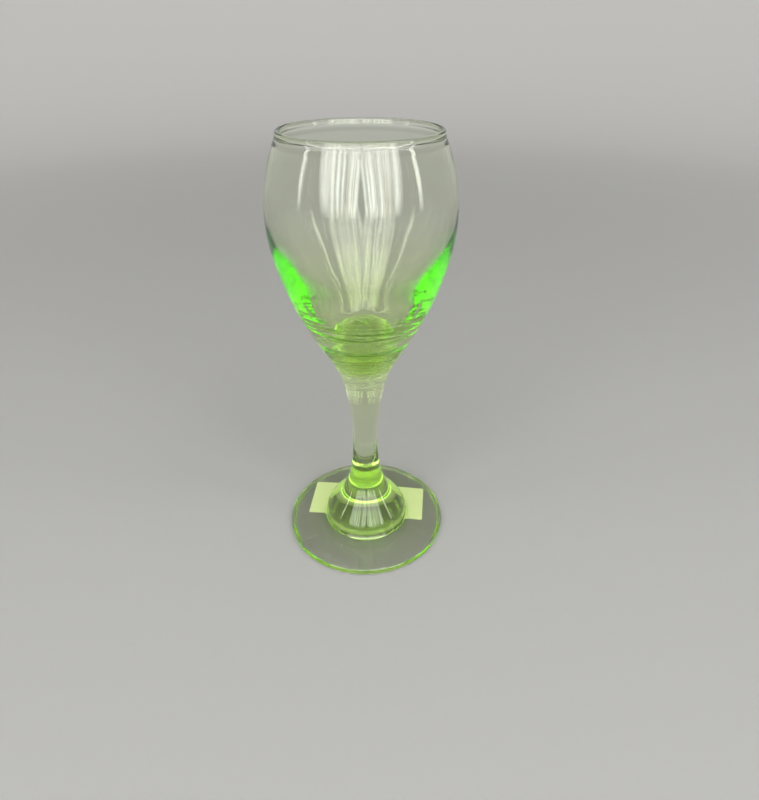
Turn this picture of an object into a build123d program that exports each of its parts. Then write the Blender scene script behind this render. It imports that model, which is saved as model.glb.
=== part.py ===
from build123d import *
import os

# A stemmed wine glass: a tulip bowl, a solid waisted stem and a domed foot, fused end to end,
# with a blank paper price label stuck in the shallow recess under the foot.
# Frame: origin at the bottom centre, on the glass's axis, +Z up. Millimetres.

# ---- Driving dimensions ----
total_height = 165.0
bowl_joint_height = 78.0  # the bowl's solid base is fused to the stem here
foot_joint_height = 24.0  # the stem is fused to the foot's dome here

# Bowl
rim_radius = 27.5  # outside of the fire-polished bead
bead_radius = 1.0
bead_blend = 0.5  # the bead flows into the wall with this radius
rim_wall = 1.3
rim_slope = (-0.42, 1)  # the outside leans in on its way up to the rim
rim_inner_slope = (0.42, -1)  # and the inside leans out on its way down from it
belly_radius = 32.8
belly_height = 137.0
belly_wall = 1.3
bowl_base_radius = 10.8
bowl_base_slope = (0.44, 1)
bowl_floor_height = 91.0  # lowest ring of the drinking space
bowl_crown_height = 94.8  # top of the low rise inside that ring

# Stem
waist_radius = 5.0
waist_height = 42.0
stem_base_radius = 7.1
stem_base_slope = (-0.3, 1)

# Foot
foot_radius = 33.1
foot_edge_height = 3.0
foot_top_corner = 1.9
foot_bottom_corner = 0.8
dome_radius = 17.0
dome_side_height = 7.5  # the dome's side turns in to its shoulder here
dome_base_height = 4.1  # the foot's top face meets the dome here
dome_blend = 0.8
recess_radius = 31.6  # at the resting plane
recess_draft = 0.4  # the recess is this much narrower at its ceiling
recess_depth = 0.5

# Label
label_length = 50.0
label_width = 20.0
label_thickness = 0.12
label_corner = 0.6
label_centre = (0.6, 8.1)  # behind the glass's axis
label_turn = -7.4  # degrees about Z

# ---- Outlines, as (radius, height) points that a smooth curve passes through ----
bead_height = total_height - bead_radius
bead_centre_radius = rim_radius - bead_radius
bowl_outside = [
    (bowl_base_radius, bowl_joint_height),
    (16.4, 88),
    (22.4, 99),
    (28.4, 114),
    (belly_radius, belly_height),
    (31.5, 150),
    (bead_centre_radius + rim_wall / 2, bead_height),
]
bowl_inside = [
    (bead_centre_radius - rim_wall / 2, bead_height),
    (30.15, 150),
    (belly_radius - belly_wall, belly_height),
    (29, 124.5),
    (25.3, 116),
    (21.1, 107),
    (18, 101.4),
    (15.3, 96.3),
    (13.6, 92.5),
    (11.7, bowl_floor_height),
    (10, 91.4),
    (7, 93.1),
    (3, 94.5),
    (0, bowl_crown_height),
]
stem_outside = [
    (stem_base_radius, foot_joint_height),
    (5.5, 33),
    (waist_radius, waist_height),
    (5.4, 52),
    (6.35, 60),
    (8.55, 71.5),
    (bowl_base_radius, bowl_joint_height),
]
dome_outside = [
    (dome_radius, dome_side_height),
    (15.5, 11),
    (12.6, 15),
    (10.1, 18.2),
    (stem_base_radius, foot_joint_height),
]


def rings_of_radius(solid, radius):
    """The solid's circular edges of one radius, lowest first."""
    circles = solid.edges().filter_by(GeomType.CIRCLE)
    return circles.filter_by(lambda edge: abs(edge.radius - radius) < 0.01).sort_by(Axis.Z)


os.makedirs("parts", exist_ok=True)

# ---- Bowl ----
# Widest at the belly. The wall is thin at the rim and thickens into a solid base, whose floor
# rises a little in the middle, and the rim ends in a round bead.
with BuildPart() as bowl:
    with BuildSketch(Plane.XZ):
        with BuildLine():
            Line(bowl_inside[-1], (0, bowl_joint_height))
            Line((0, bowl_joint_height), bowl_outside[0])
            Spline(bowl_outside, tangents=[bowl_base_slope, rim_slope])
            Line(bowl_outside[-1], bowl_inside[0])
            Spline(bowl_inside, tangents=[rim_inner_slope, (-1, 0)])
        make_face()
        with Locations((bead_centre_radius, bead_height)):
            Circle(bead_radius)
    revolve(axis=Axis.Z)
    bead_seams = bowl.edges().filter_by_position(
        Axis.Z, bead_height - bead_radius, bead_height - bead_radius / 4, (True, True)
    )
    fillet(bead_seams, bead_blend)
bowl.part.label = "bowl"
export_step(bowl.part, "parts/bowl.step")

# ---- Stem ----
# A solid rod with a waist, a trumpet under the bowl and a shorter flare above the foot.
with BuildPart() as stem:
    with BuildSketch(Plane.XZ):
        with BuildLine():
            Line((0, bowl_joint_height), (0, foot_joint_height))
            Line((0, foot_joint_height), stem_outside[0])
            Spline(stem_outside, tangents=[stem_base_slope, bowl_base_slope])
            Line(stem_outside[-1], (0, bowl_joint_height))
        make_face()
    revolve(axis=Axis.Z)
stem.part.label = "stem"
export_step(stem.part, "parts/stem.step")

# ---- Foot ----
# A round disc whose dome flares up to the stem. The underside is recessed, so the glass stands
# on a narrow ring near the edge.
with BuildPart() as foot:
    with BuildSketch(Plane.XZ):
        with BuildLine():
            Polyline(
                (0, foot_joint_height),
                (0, recess_depth),
                (recess_radius - recess_draft, recess_depth),
                (recess_radius, 0),
                (foot_radius, 0),
                (foot_radius, foot_edge_height),
                (dome_radius, dome_base_height),
                (dome_radius, dome_side_height),
            )
            Spline(dome_outside, tangents=[(0, 1), stem_base_slope])
            Line(dome_outside[-1], (0, foot_joint_height))
        make_face()
    revolve(axis=Axis.Z)
    fillet(rings_of_radius(foot, foot_radius)[0], foot_bottom_corner)
    fillet(rings_of_radius(foot, foot_radius)[-1], foot_top_corner)
    fillet(rings_of_radius(foot, dome_radius)[0], dome_blend)
foot.part.label = "foot"
export_step(foot.part, "parts/foot.step")

# ---- Label ----
# A blank paper rectangle whose glued face lies against the recess's ceiling.
with BuildPart() as label:
    with BuildSketch(Plane.XY.offset(recess_depth - label_thickness)):
        with Locations(Location(label_centre + (0,), (0, 0, label_turn))):
            RectangleRounded(label_length, label_width, label_corner)
    extrude(amount=label_thickness)
label.part.label = "label"
export_step(label.part, "parts/label.step")
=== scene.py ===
import math

import bmesh
import bpy
import numpy as np
from mathutils import Matrix, Vector, noise


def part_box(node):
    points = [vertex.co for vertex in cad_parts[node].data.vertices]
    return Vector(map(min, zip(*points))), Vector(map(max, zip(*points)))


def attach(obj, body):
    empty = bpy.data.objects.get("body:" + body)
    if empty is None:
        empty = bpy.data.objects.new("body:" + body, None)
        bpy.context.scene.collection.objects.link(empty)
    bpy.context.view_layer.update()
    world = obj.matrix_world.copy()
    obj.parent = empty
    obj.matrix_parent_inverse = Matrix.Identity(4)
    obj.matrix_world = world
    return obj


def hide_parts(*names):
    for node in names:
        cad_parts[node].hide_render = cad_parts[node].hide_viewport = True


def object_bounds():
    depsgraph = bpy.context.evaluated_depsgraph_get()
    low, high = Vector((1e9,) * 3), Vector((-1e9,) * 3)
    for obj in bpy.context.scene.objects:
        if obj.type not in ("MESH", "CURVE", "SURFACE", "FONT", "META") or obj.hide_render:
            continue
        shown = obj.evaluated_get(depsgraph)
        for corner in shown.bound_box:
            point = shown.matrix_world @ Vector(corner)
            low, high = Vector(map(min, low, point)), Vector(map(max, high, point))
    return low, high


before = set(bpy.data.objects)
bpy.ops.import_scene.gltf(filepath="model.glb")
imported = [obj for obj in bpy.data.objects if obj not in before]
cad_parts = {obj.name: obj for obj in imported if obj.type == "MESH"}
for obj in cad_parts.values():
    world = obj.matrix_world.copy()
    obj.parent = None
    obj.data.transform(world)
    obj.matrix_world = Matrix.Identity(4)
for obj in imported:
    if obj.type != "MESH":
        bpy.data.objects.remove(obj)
cad_low, cad_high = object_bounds()

# A stemmed wine glass: a tulip bowl, a waisted stem and a domed foot, fused end to end, with a
# blank paper label under the foot. Outlines are in millimetres, as (radius, height) points, and
# meshes are made in metres.
MM = 0.001
TURNS = 192  # facets round the glass
SHARP_ANGLE = 50.0  # degrees; a gentler edge is shaded smooth
RADIAL_STEP = 1.5  # between the rings of a flat joint face

# ---- Sizes of the glass ----
TOTAL_HEIGHT = cad_high.z / MM
FOOT_RADIUS = cad_high.x / MM
BOWL_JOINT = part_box("stem")[1].z / MM
FOOT_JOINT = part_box("stem")[0].z / MM
SEAM_GAP = 0.004  # keeps the faces of a fused joint from lying in one plane

BELLY_RADIUS = 32.8
BELLY_HEIGHT = 137.0
BELLY_WALL = 1.3
BEAD_RADIUS = 1.0
BEAD_CENTRE = (27.5 - BEAD_RADIUS, TOTAL_HEIGHT - BEAD_RADIUS)
BEAD_ARC = (200, -20, 6)  # its first and last angle, and how many pieces it is made in
LIP_LEAN = 0.37  # how far the wall leans in for each millimetre up, just under the rim
BOWL_BASE_RADIUS = 10.8
BOWL_BASE_LEAN = 0.44  # how far the side spreads for each millimetre up, at the bowl's joint
CROWN = 94.8  # top of the bump in the middle of the bowl's floor
STEM_BASE_RADIUS = 7.1
STEM_BASE_LEAN = 0.3  # how far the side draws in for each millimetre up, at the foot's joint

DOME_RADIUS = 17.0
DOME_BASE = 4.1
DOME_FILLET = 2.2  # where the dome's side meets the deck
EDGE_HEIGHT = 3.13  # the deck is this high at the foot's edge
EDGE_ROUND = 1.2  # radius of the edge's upper corner
EDGE_UNDERCUT = (1.45, 1.9)  # how far in and how far up the edge's lower curve goes
RECESS_DEPTH = 0.5
RECESS_RADIUS = 31.6
RECESS_SLOPE = 0.4

LABEL_SIZE = (50.0, 20.0)
LABEL_CORNER = 0.6
LABEL_THICKNESS = 0.1
LABEL_GAP = 0.02  # between the sheet and the glass above it
LABEL_CENTRE = (0.6, 8.1)
LABEL_TURN = -7.4  # degrees

# ---- Unevenness of the glass ----
TOOL_RINGS = (  # height of each fine groove under the bowl and its depth
    (85.7, 0.09), (84.4, 0.1), (82.0, 0.07), (80.4, 0.12), (78.6, 0.1), (76.8, 0.13),
    (74.6, 0.17), (72.5, 0.12), (67.6, 0.07),
)
TOOL_RING_WIDTH = 0.18

# Each kind of wave in the bowl's inside: its size in millimetres, how fast it changes round the
# glass, and how fast it changes with each millimetre of height.
WRINKLES = (0.34, 1.6, 0.85)
UPRIGHT_WAVES = (0.05, 5, 0.012)
FINE_WAVES = (0.07, 13, 0.07)
WRINKLES_AT = (98.5, 5.0)  # the height where they are strongest, and how soon they fade from it
FINE_WAVES_AT = (112, 12.0)
WRINKLES_START_RADIUS = 8  # they fade out towards the axis from here
UPRIGHT_SPAN = (100, 160)  # heights between which the upright waves run
UPRIGHT_EASE = 15


# ---- Outlines ----
def smooth_curve(points, start, end, steps):
    """A smooth curve through the points that leaves along start and arrives along end. steps is
    the spacing of the points made along it, or a list with the spacing of each stretch."""
    points = np.array(points, float)
    lengths = np.linalg.norm(np.diff(points, axis=0), axis=1)
    count = len(points)
    matrix, right = np.zeros((count, count)), np.zeros((count, 2))
    matrix[0, 0] = matrix[-1, -1] = 1
    right[0] = np.array(start) / np.linalg.norm(start)
    right[-1] = np.array(end) / np.linalg.norm(end)
    for i in range(1, count - 1):
        a, b = lengths[i - 1], lengths[i]
        matrix[i, i - 1 : i + 2] = 1 / a, 2 / a + 2 / b, 1 / b
        right[i] = 3 * ((points[i] - points[i - 1]) / a**2 + (points[i + 1] - points[i]) / b**2)
    slopes = np.linalg.solve(matrix, right)
    curve = []
    if not isinstance(steps, list):
        steps = [steps] * len(lengths)
    for i, (length, step) in enumerate(zip(lengths, steps, strict=True)):
        pieces = max(2, round(length / step))
        for t in np.arange(pieces) / pieces:
            near = (1 + 2 * t) * (1 - t) ** 2 * points[i] + t * (1 - t) ** 2 * length * slopes[i]
            far = t**2 * (3 - 2 * t) * points[i + 1] + t**2 * (t - 1) * length * slopes[i + 1]
            curve.append(tuple(near + far))
    return curve + [tuple(points[-1])]


def straight(start, end, step):
    """Points from start to end, without the last."""
    pieces = max(1, round(math.dist(start, end) / step))
    return [
        tuple(a + (b - a) * i / pieces for a, b in zip(start, end)) for i in range(pieces)
    ]


def arc(centre, radius, start, end, pieces):
    """Points round an arc between two angles in degrees."""
    angles = [math.radians(start + (end - start) * i / pieces) for i in range(pieces + 1)]
    return [(centre[0] + radius * math.cos(a), centre[1] + radius * math.sin(a)) for a in angles]


# ---- Meshes ----
def link_object(name, mesh):
    piece = bpy.data.objects.new(name, mesh)
    bpy.context.collection.objects.link(piece)
    return piece


def revolved(name, outline, ripple=None):
    """A closed body of revolution. Its outline starts and ends on the axis. ripple moves a point
    out from the axis, by millimetres that it works out from the point and its place in the
    outline."""
    verts, faces = [], []
    rings = []
    for index, (radius, height) in enumerate(outline):
        if radius < 1e-6:
            rings.append([len(verts)])
            verts.append(Vector((0, 0, height * MM)))
            continue
        rings.append(list(range(len(verts), len(verts) + TURNS)))
        for turn in range(TURNS):
            angle = 2 * math.pi * turn / TURNS
            point = Vector((radius * math.cos(angle), radius * math.sin(angle), height))
            if ripple is not None:
                point += Vector((math.cos(angle), math.sin(angle), 0)) * ripple(point, index)
            verts.append(point * MM)
    for low, high in zip(rings, rings[1:]):
        for turn in range(TURNS):
            after = (turn + 1) % TURNS
            if len(low) == 1:
                faces.append((low[0], high[after], high[turn]))
            elif len(high) == 1:
                faces.append((low[turn], low[after], high[0]))
            else:
                faces.append((low[turn], low[after], high[after], high[turn]))
    mesh = bpy.data.meshes.new(name)
    mesh.from_pydata(verts, [], faces)
    mesh.validate()
    mesh.shade_smooth()
    mesh.set_sharp_from_angle(angle=math.radians(SHARP_ANGLE))
    return link_object(name, mesh)


def mark_fused(piece, *heights):
    """Marks the flat faces of the piece's fused joints, which its glass shows nothing of."""
    values = []
    for face in piece.data.polygons:
        level = any(abs(face.center.z / MM - height) < 2 * SEAM_GAP for height in heights)
        values.append(1.0 if level and abs(face.normal.z) > 0.99 else 0.0)
    fused = piece.data.attributes.new("fused", "FLOAT", "FACE")
    fused.data.foreach_set("value", values)


def hump(height, middle, width):
    """1 at the middle height and smoothly down to nothing on both sides of it."""
    return math.exp(-(((height - middle) / width) ** 2))


def clamped(value):
    return min(1.0, max(0.0, value))


def tool_marks(height):
    """How far the fine rings that tools leave are sunk into the glass round the top of the stem,
    as a move outwards, so below zero."""
    return -sum(depth * hump(height, ring, TOOL_RING_WIDTH) for ring, depth in TOOL_RINGS)


def waves(around, height, share, size, round_rate, up_rate):
    """One kind of wave, at a share of its size."""
    place = Vector((around.x * round_rate, around.y * round_rate, height * up_rate))
    return size * share * noise.noise(place)


def inner_ripple(point):
    """The slight unevenness that blowing leaves in the bowl's inside: level wrinkles round the
    bottom, and upright and fine waves in the wall."""
    radius, height = math.hypot(point.x, point.y), point.z
    around = Vector((point.x, point.y, 0)) / max(radius, 1.0)
    low = hump(height, *WRINKLES_AT) * min(1.0, radius / WRINKLES_START_RADIUS)
    start, end = UPRIGHT_SPAN
    upright = clamped((height - start) / UPRIGHT_EASE) * clamped((end - height) / UPRIGHT_EASE)
    fine = hump(height, *FINE_WAVES_AT)
    return (
        waves(around, height, low, *WRINKLES)
        + waves(around, height, upright, *UPRIGHT_WAVES)
        + waves(around, height, fine, *FINE_WAVES)
    )


def make_bowl():
    base = BOWL_JOINT + SEAM_GAP
    inside = smooth_curve(
        [
            (0, CROWN), (3, 94.5), (7, 93.1), (10, 91.4), (11.7, 91), (13.6, 92.5), (15.3, 96.3),
            (18, 101.4), (21.1, 107), (25.3, 116), (29, 124.5),
            (BELLY_RADIUS - BELLY_WALL, BELLY_HEIGHT), (30.15, 150), (27.4, 160),
        ],
        (1, 0), (-LIP_LEAN, 1), [0.4] * 4 + [0.3] * 5 + [0.5, 0.6, 0.8, 0.8],
    )
    bead = arc(BEAD_CENTRE, BEAD_RADIUS, *BEAD_ARC)
    lip = smooth_curve(
        [inside[-1], (26.45, 162.55)] + bead + [(27.9, 162.15), (28.7, 160)],
        (-LIP_LEAN, 1), (LIP_LEAN, -1), 0.2,
    )
    outside = smooth_curve(
        [
            lip[-1], (31.5, 150), (BELLY_RADIUS, BELLY_HEIGHT), (28.4, 114), (22.4, 99),
            (16.4, 88), (BOWL_BASE_RADIUS, base),
        ],
        (LIP_LEAN, -1), (-BOWL_BASE_LEAN, -1), [0.8, 0.8, 0.7, 0.5, 0.35, 0.1],
    )
    floor = straight(outside[-1], (0, base), RADIAL_STEP)
    outline = inside[:-1] + lip[:-1] + outside[:-1] + floor + [(0, base)]
    outer_end = len(floor) + 1 + len(outside)

    def ripple(point, index):
        return inner_ripple(point) if index > outer_end else tool_marks(point.z)

    piece = revolved("bowl_glass", outline[::-1], ripple)
    mark_fused(piece, base)
    return piece


def make_stem():
    top, bottom = BOWL_JOINT - SEAM_GAP, FOOT_JOINT + SEAM_GAP
    side = smooth_curve(
        [
            (STEM_BASE_RADIUS, bottom), (5.5, 33), (5.0, 42), (5.4, 52), (6.35, 60),
            (8.55, 71.5), (BOWL_BASE_RADIUS, top),
        ],
        (-STEM_BASE_LEAN, 1), (BOWL_BASE_LEAN, 1), [0.4, 0.4, 0.4, 0.4, 0.15, 0.1],
    )
    outline = straight((0, bottom), side[0], RADIAL_STEP) + side[:-1]
    outline += straight(side[-1], (0, top), RADIAL_STEP) + [(0, top)]
    piece = revolved("stem_glass", outline, lambda point, index: tool_marks(point.z))
    mark_fused(piece, top, bottom)
    return piece


def make_foot():
    top = FOOT_JOINT - SEAM_GAP
    recess_edge = (RECESS_RADIUS - RECESS_SLOPE, RECESS_DEPTH)
    under = straight((0, RECESS_DEPTH), recess_edge, 1.0)
    recess = straight(recess_edge, (RECESS_RADIUS, 0), 0.4)
    ring = [(RECESS_RADIUS, 0)]
    inwards, upwards = EDGE_UNDERCUT
    low = [
        (FOOT_RADIUS - inwards * (1 - math.sin(t)), upwards * (1 - math.cos(t)))
        for t in np.linspace(0, math.pi / 2, 14)
    ]
    high = arc((FOOT_RADIUS - EDGE_ROUND, EDGE_HEIGHT - EDGE_ROUND), EDGE_ROUND, 0, 86, 12)
    deck = straight(high[-1], (DOME_RADIUS + DOME_FILLET, DOME_BASE), 0.7)
    centre = (DOME_RADIUS + DOME_FILLET, DOME_BASE + DOME_FILLET)
    corner = arc(centre, DOME_FILLET, 270, 180, 12)
    dome = smooth_curve(
        [
            corner[-1], (DOME_RADIUS, 7.5), (15.5, 11), (12.6, 15), (10.1, 18.2),
            (STEM_BASE_RADIUS, top),
        ],
        (0, 1), (-STEM_BASE_LEAN, 1), 0.4,
    )
    outline = under + recess + ring + low + high[:-1] + deck + corner[:-1] + dome[:-1]
    outline += straight(dome[-1], (0, top), RADIAL_STEP) + [(0, top)]
    piece = revolved("foot_glass", outline)
    mark_fused(piece, top)
    return piece


def make_label():
    """A thin rounded rectangle, turned a little, that all but touches the glass above it."""
    length, width = LABEL_SIZE
    outline = []
    for x, y, start in ((1, 1, 0), (-1, 1, 90), (-1, -1, 180), (1, -1, 270)):
        middle = (x * (length / 2 - LABEL_CORNER), y * (width / 2 - LABEL_CORNER))
        outline += arc(middle, LABEL_CORNER, start, start + 90, 4)
    mesh = bpy.data.meshes.new("label_sheet")
    build = bmesh.new()
    corners = [build.verts.new((x, y, 0)) for x, y in outline]
    sheet = build.faces.new(corners)
    extruded = bmesh.ops.extrude_face_region(build, geom=[sheet])
    moved = [v for v in extruded["geom"] if isinstance(v, bmesh.types.BMVert)]
    bmesh.ops.translate(build, verts=moved, vec=(0, 0, LABEL_THICKNESS))
    bmesh.ops.recalc_face_normals(build, faces=build.faces)
    centre = Vector((*LABEL_CENTRE, RECESS_DEPTH - LABEL_GAP - LABEL_THICKNESS))
    turned = Matrix.Translation(centre) @ Matrix.Rotation(math.radians(LABEL_TURN), 4, "Z")
    bmesh.ops.transform(build, matrix=Matrix.Scale(MM, 4) @ turned, verts=build.verts)
    build.to_mesh(mesh)
    build.free()
    return link_object("label_sheet", mesh)


# ---- Materials ----
GREEN_LEFT = (0.615, 0.846, 0.03, 1.0)  # what the glass leaves of white light
BOWL_DENSITY = 71.0  # per metre
STEM_DENSITY = 34.0
FOOT_DENSITY = 44.0
GLASS_BEND = 1.52  # index of refraction
# The paper's yellow-green is painted light: it stands for the green light that reaches the sheet
# through the glass foot.
PAPER_DARK_GREEN_LIT = (0.78, 0.86, 0.48, 1)
PAPER_LIGHT_GREEN_LIT = (0.91, 0.99, 0.64, 1)
PAPER_ROUGHNESS = (0.7, 0.9)
FIBRES = (2600.0, 6.0)  # scale and detail of the noise
CLOUDS = (180.0, 3.0)
FIBRE_SHARE = 1.2
CLOUD_SHIFT = 0.45
FIBRE_RELIEF = 0.00005  # metres


def new_material(name):
    material = bpy.data.materials.new(name)
    material.use_nodes = True
    return material, material.node_tree.nodes, material.node_tree.links


def node_of_type(nodes, kind):
    return next(node for node in nodes if node.type == kind)


def noise_texture(nodes, links, vector, scale, detail):
    """The value of a noise texture with so many waves to the metre."""
    texture = nodes.new("ShaderNodeTexNoise")
    texture.inputs["Scale"].default_value = scale
    texture.inputs["Detail"].default_value = detail
    texture.inputs["Roughness"].default_value = 0.6
    links.new(vector, texture.inputs["Vector"])
    return texture.outputs["Fac"]


def maths(nodes, links, operation, first, second):
    """A Math node's result. first and second are sockets or numbers."""
    node = nodes.new("ShaderNodeMath")
    node.operation = operation
    for socket, value in zip(node.inputs, (first, second)):
        if isinstance(value, bpy.types.NodeSocket):
            links.new(value, socket)
        else:
            socket.default_value = value
    return node.outputs["Value"]


def ranged(nodes, links, value, source, target):
    """The value, carried from the source range to the target range."""
    change = nodes.new("ShaderNodeMapRange")
    change.inputs["From Min"].default_value = source[0]
    change.inputs["From Max"].default_value = source[1]
    change.inputs["To Min"].default_value = target[0]
    change.inputs["To Max"].default_value = target[1]
    links.new(value, change.inputs["Value"])
    return change.outputs["Result"]


def eased(nodes, links, value, start, end, top=1.0):
    """A smooth step from 0 at start to the top at end."""
    step = nodes.new("ShaderNodeMapRange")
    step.interpolation_type = "SMOOTHSTEP"
    step.inputs["From Min"].default_value = start
    step.inputs["From Max"].default_value = end
    step.inputs["To Max"].default_value = top
    links.new(value, step.inputs["Value"])
    return step.outputs["Result"]


def mixed(nodes, links, share, first, second):
    """A colour between two colours, the second at a share of 1."""
    tone = nodes.new("ShaderNodeMix")
    tone.data_type = "RGBA"
    tone.inputs["A"].default_value = first
    tone.inputs["B"].default_value = second
    links.new(share, tone.inputs["Factor"])
    return tone.outputs["Result"]


def glass(name, density):
    """Clear glass coloured green all through, pale across a wall and bright along it."""
    material, nodes, links = new_material(name)
    shader = node_of_type(nodes, "BSDF_PRINCIPLED")
    shader.inputs["Base Color"].default_value = (1, 1, 1, 1)
    shader.inputs["Roughness"].default_value = 0.0
    shader.inputs["Transmission Weight"].default_value = 1.0
    # A fused joint has no surface inside the glass, so its faces don't bend light.
    fused = nodes.new("ShaderNodeAttribute")
    fused.attribute_name = "fused"
    bend = ranged(nodes, links, fused.outputs["Fac"], (0.0, 1.0), (GLASS_BEND, 1.0))
    links.new(bend, shader.inputs["IOR"])
    depth = nodes.new("ShaderNodeVolumeAbsorption")
    depth.inputs["Color"].default_value = GREEN_LEFT
    depth.inputs["Density"].default_value = density
    links.new(depth.outputs["Volume"], node_of_type(nodes, "OUTPUT_MATERIAL").inputs["Volume"])
    return material


def paper(name):
    """Pale paper in a painted yellow-green that stands for the green light reaching it through the
    foot. Short fibres show as fine specks, cloudy patches and a faint relief.
    """
    material, nodes, links = new_material(name)
    shader = node_of_type(nodes, "BSDF_PRINCIPLED")
    spot = nodes.new("ShaderNodeTexCoord").outputs["Object"]
    fibres = noise_texture(nodes, links, spot, *FIBRES)
    clouds = noise_texture(nodes, links, spot, *CLOUDS)
    shift = maths(nodes, links, "SUBTRACT", clouds, CLOUD_SHIFT)
    both = maths(nodes, links, "ADD", maths(nodes, links, "MULTIPLY", fibres, FIBRE_SHARE), shift)
    both.node.use_clamp = True
    # Fibre and cloud tones between the two painted yellow-greens.
    tone = mixed(nodes, links, both, PAPER_DARK_GREEN_LIT, PAPER_LIGHT_GREEN_LIT)
    links.new(tone, shader.inputs["Base Color"])
    rough = ranged(nodes, links, fibres, (0.0, 1.0), PAPER_ROUGHNESS)
    links.new(rough, shader.inputs["Roughness"])
    relief = nodes.new("ShaderNodeBump")
    relief.inputs["Strength"].default_value = 0.4
    relief.inputs["Distance"].default_value = FIBRE_RELIEF
    links.new(fibres, relief.inputs["Height"])
    links.new(relief.outputs["Normal"], shader.inputs["Normal"])
    return material


# ---- Pieces ----
def place(piece, node, slot, material):
    piece.data.materials.append(material)
    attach(piece, "root")
    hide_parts(node)


place(make_bowl(), "bowl", "bowl_glass", glass("bowl_green", BOWL_DENSITY))
place(make_stem(), "stem", "stem_glass", glass("stem_green", STEM_DENSITY))
place(make_foot(), "foot", "foot_glass", glass("foot_green", FOOT_DENSITY))
place(make_label(), "label", "label_paper", paper("label_paper"))


# ---- Stage ----
FLOOR_GREY = (0.24, 0.24, 0.24, 1)
FLOOR_RADIUS = 0.9
SWEEP_RADIUS = 0.5  # of the curve between the floor and the wall
WALL_TOP = 1.6
STAGE_TURNS = 96  # facets round the stage
STAGE_TONE = (1.0, 0.985, 0.96, 1)
STAGE_GLOW = 0.27  # radiance of the wall
STAGE_GLOW_RISE = (0.1, 1.5)  # distances from the middle where the glow starts and is full
WALL_DIMS = (0.95, 0.55)  # metres up the wall where its glow is gone and where it starts to go
CEILING_TONE = (1.0, 0.98, 0.95, 1)
CEILING_GLOW = (0.1, 0.8)  # low down and overhead
CEILING_RISE = (0.68, 0.92)  # sines of the elevations where it starts and ends brightening


def make_stage():
    """A plain floor that sweeps up into a wall all round and glows softly further out."""
    sweep = straight((0, 0), (FLOOR_RADIUS, 0), 0.1)
    sweep += arc((FLOOR_RADIUS, SWEEP_RADIUS), SWEEP_RADIUS, -90, 0, 16)
    sweep += [(FLOOR_RADIUS + SWEEP_RADIUS, WALL_TOP)]
    verts, faces = [], []
    for radius, height in sweep[1:]:
        for turn in range(STAGE_TURNS):
            angle = 2 * math.pi * turn / STAGE_TURNS
            verts.append((radius * math.cos(angle), radius * math.sin(angle), height))
    faces.append(tuple(range(STAGE_TURNS)))
    for ring in range(len(sweep) - 2):
        for turn in range(STAGE_TURNS):
            a = ring * STAGE_TURNS + turn
            b = ring * STAGE_TURNS + (turn + 1) % STAGE_TURNS
            faces.append((a, a + STAGE_TURNS, b + STAGE_TURNS, b))
    mesh = bpy.data.meshes.new("floor")
    mesh.from_pydata(verts, [], faces)
    mesh.shade_smooth()
    material, nodes, links = new_material("floor_grey")
    shader = node_of_type(nodes, "BSDF_PRINCIPLED")
    shader.inputs["Base Color"].default_value = FLOOR_GREY
    shader.inputs["Roughness"].default_value = 0.9
    shader.inputs["Emission Color"].default_value = STAGE_TONE
    spot = nodes.new("ShaderNodeTexCoord").outputs["Object"]
    far = nodes.new("ShaderNodeVectorMath")
    far.operation = "LENGTH"
    links.new(spot, far.inputs[0])
    glow = eased(nodes, links, far.outputs["Value"], *STAGE_GLOW_RISE, top=STAGE_GLOW)
    split = nodes.new("ShaderNodeSeparateXYZ")
    links.new(spot, split.inputs["Vector"])
    dimmed = eased(nodes, links, split.outputs["Z"], *WALL_DIMS)
    shine = maths(nodes, links, "MULTIPLY", glow, dimmed)
    links.new(shine, shader.inputs["Emission Strength"])
    mesh.materials.append(material)
    floor = link_object("floor", mesh)


def make_room():
    """A dim room whose light comes mostly from overhead."""
    world = bpy.data.worlds.new("room")
    world.use_nodes = True
    nodes, links = world.node_tree.nodes, world.node_tree.links
    background = nodes["Background"]
    background.inputs["Color"].default_value = CEILING_TONE
    towards = nodes.new("ShaderNodeTexCoord")
    split = nodes.new("ShaderNodeSeparateXYZ")
    links.new(towards.outputs["Generated"], split.inputs["Vector"])
    overhead = eased(nodes, links, split.outputs["Z"], *CEILING_RISE)
    spread = maths(nodes, links, "MULTIPLY", overhead, CEILING_GLOW[1] - CEILING_GLOW[0])
    level = maths(nodes, links, "ADD", spread, CEILING_GLOW[0])
    links.new(level, background.inputs["Strength"])
    bpy.context.scene.world = world


# ---- Windows ----
WINDOWS = (  # name, azimuth, width in metres, radiance, folds to its width, place in the noise
    ("window_left", -26.3, 0.92, 5.2, 9.0, 3.1),
    ("window_right", 25.3, 0.92, 5.2, 9.0, 8.4),
    ("side_left", -74, 0.1, 6.0, 2.0, 5.0),
    ("side_right", 71, 0.1, 6.0, 2.0, 6.0),
)
WINDOW_CENTRE = (0, 0, 0.11)  # what they face
WINDOW_DISTANCE = 1.0
WINDOW_ELEVATION = 30.0
WINDOW_HEIGHT = 1.5
WINDOW_FOLDS = (0.25, 1.9)  # dimmest and brightest folds, as shares of the radiance
FOLD_VALUES = (0.38, 0.62)  # noise values of the dimmest and brightest folds
FOLD_SHARES = (0.62, 0.38)  # of the wide folds and of the fine ones
FINE_FOLDS = 3.5  # fine folds to one wide fold
FOLD_DRIFT = 0.03  # how little the folds change from top to bottom
WINDOW_FOOT_FADE = (-0.48, -0.2)
WINDOW_SIDE_FADE = (0.5, 0.42)
WARM_TONE = (1.0, 0.94, 0.82, 1)
COOL_TONE = (0.94, 0.98, 1.0, 1)
TONE_VALUES = (0.4, 0.6)  # noise values of the warm and the cool folds


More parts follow.
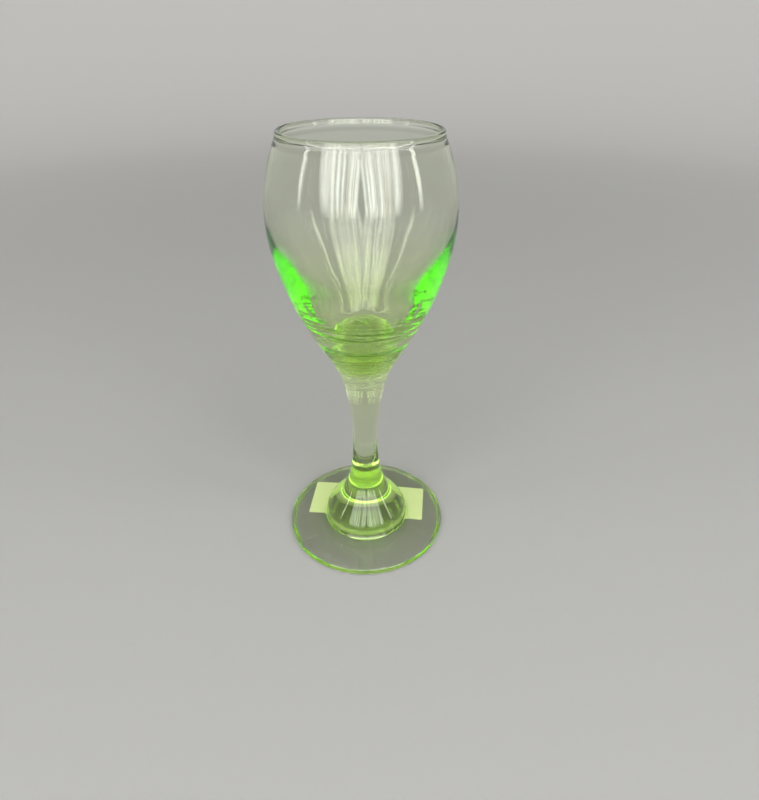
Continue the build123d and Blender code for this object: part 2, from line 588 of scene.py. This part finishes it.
def make_window(name, azimuth, width, radiance, streaks, seed):
    """A soft lit panel that faces the glass, brighter and dimmer in upright folds like a net
    curtain, and fading out at its sides and foot. Azimuth 0 is towards -Y and 90 towards +X.
    The camera doesn't see it, neither bare nor straight through the glass, only its light."""
    mesh = bpy.data.meshes.new(name)
    corners = [(-0.5, -0.5, 0), (0.5, -0.5, 0), (0.5, 0.5, 0), (-0.5, 0.5, 0)]
    mesh.from_pydata(corners, [], [(3, 2, 1, 0)])
    material, nodes, links = new_material(name)
    material.cycles.emission_sampling = "FRONT"
    nodes.clear()
    spot = nodes.new("ShaderNodeTexCoord")
    split = nodes.new("ShaderNodeSeparateXYZ")
    links.new(spot.outputs["Object"], split.inputs["Vector"])
    across = nodes.new("ShaderNodeCombineXYZ")
    links.new(maths(nodes, links, "ADD", split.outputs["X"], seed), across.inputs["X"])
    drift = maths(nodes, links, "MULTIPLY", split.outputs["Y"], FOLD_DRIFT)
    links.new(drift, across.inputs["Y"])
    wide = noise_texture(nodes, links, across.outputs["Vector"], streaks, 2.0)
    fine = noise_texture(nodes, links, across.outputs["Vector"], streaks * FINE_FOLDS, 2.0)
    wide_share = maths(nodes, links, "MULTIPLY", wide, FOLD_SHARES[0])
    fine_share = maths(nodes, links, "MULTIPLY", fine, FOLD_SHARES[1])
    folds = maths(nodes, links, "ADD", wide_share, fine_share)
    brightness = [share * radiance for share in WINDOW_FOLDS]
    strength = ranged(nodes, links, folds, FOLD_VALUES, brightness)
    foot_fade = eased(nodes, links, split.outputs["Y"], *WINDOW_FOOT_FADE)
    strength = maths(nodes, links, "MULTIPLY", strength, foot_fade)
    side = maths(nodes, links, "ABSOLUTE", split.outputs["X"], 0.0)
    side_fade = eased(nodes, links, side, *WINDOW_SIDE_FADE)
    strength = maths(nodes, links, "MULTIPLY", strength, side_fade)
    coolness = eased(nodes, links, fine, *TONE_VALUES)
    lit = nodes.new("ShaderNodeEmission")
    links.new(mixed(nodes, links, coolness, WARM_TONE, COOL_TONE), lit.inputs["Color"])
    links.new(strength, lit.inputs["Strength"])
    # Light that has only passed straight through the glass goes through the panel too, and so
    # does light from behind it.
    path = nodes.new("ShaderNodeLightPath")
    front = nodes.new("ShaderNodeNewGeometry")
    turned = maths(nodes, links, "ADD", path.outputs["Glossy Depth"], path.outputs["Diffuse Depth"])
    straight_on = maths(nodes, links, "LESS_THAN", turned, 0.5)
    hidden = maths(nodes, links, "MULTIPLY", straight_on, path.outputs["Is Transmission Ray"])
    hidden = maths(nodes, links, "MAXIMUM", hidden, front.outputs["Backfacing"])
    clear = nodes.new("ShaderNodeBsdfTransparent")
    mix = nodes.new("ShaderNodeMixShader")
    links.new(hidden, mix.inputs["Fac"])
    links.new(lit.outputs["Emission"], mix.inputs[1])
    links.new(clear.outputs["BSDF"], mix.inputs[2])
    output = nodes.new("ShaderNodeOutputMaterial")
    links.new(mix.outputs["Shader"], output.inputs["Surface"])
    mesh.materials.append(material)
    panel = link_object(name, mesh)
    a, e = math.radians(azimuth), math.radians(WINDOW_ELEVATION)
    out = Vector((math.sin(a) * math.cos(e), -math.cos(a) * math.cos(e), math.sin(e)))
    panel.location = Vector(WINDOW_CENTRE) + out * WINDOW_DISTANCE
    panel.rotation_euler = out.to_track_quat("Z", "Y").to_euler()
    panel.scale = (width, WINDOW_HEIGHT, 1)
    panel.visible_camera = False


# ---- Camera ----
CAMERA_PLACE = (0, -0.2006, 0.19303)
CAMERA_YAW = 1.705  # degrees
CAMERA_PITCH = 27.71
CAMERA_ROLL = -0.13
CAMERA_LENS = 26.9
CAMERA_SHIFT = -0.072


def make_camera():
    data = bpy.data.cameras.new("camera")
    data.sensor_width = 36
    data.lens = CAMERA_LENS
    data.shift_y = CAMERA_SHIFT
    data.clip_start = 0.01
    camera = link_object("camera", data)
    yaw, pitch, roll = (math.radians(a) for a in (CAMERA_YAW, CAMERA_PITCH, CAMERA_ROLL))
    ahead = Vector((math.sin(yaw), math.cos(yaw), 0))
    look = ahead * math.cos(pitch) + Vector((0, 0, -math.sin(pitch)))
    level = Vector((math.cos(yaw), -math.sin(yaw), 0))
    upright = level.cross(look)
    right = level * math.cos(roll) + upright * math.sin(roll)
    up = upright * math.cos(roll) - level * math.sin(roll)
    turned = Matrix((right, up, -look)).transposed().to_4x4()
    camera.matrix_world = Matrix.Translation(CAMERA_PLACE) @ turned
    bpy.context.scene.camera = camera


make_stage()
for window in WINDOWS:
    make_window(*window)
make_camera()
make_room()

# Light is followed through many turns inside the glass, or its edges would go black.
scene = bpy.context.scene
scene.view_settings.view_transform = "Standard"
scene.cycles.max_bounces = 200
scene.cycles.transmission_bounces = 100
scene.cycles.glossy_bounces = 160
scene.cycles.transparent_max_bounces = 16
scene.cycles.use_denoising = True
scene.cycles.sample_clamp_indirect = 8.0
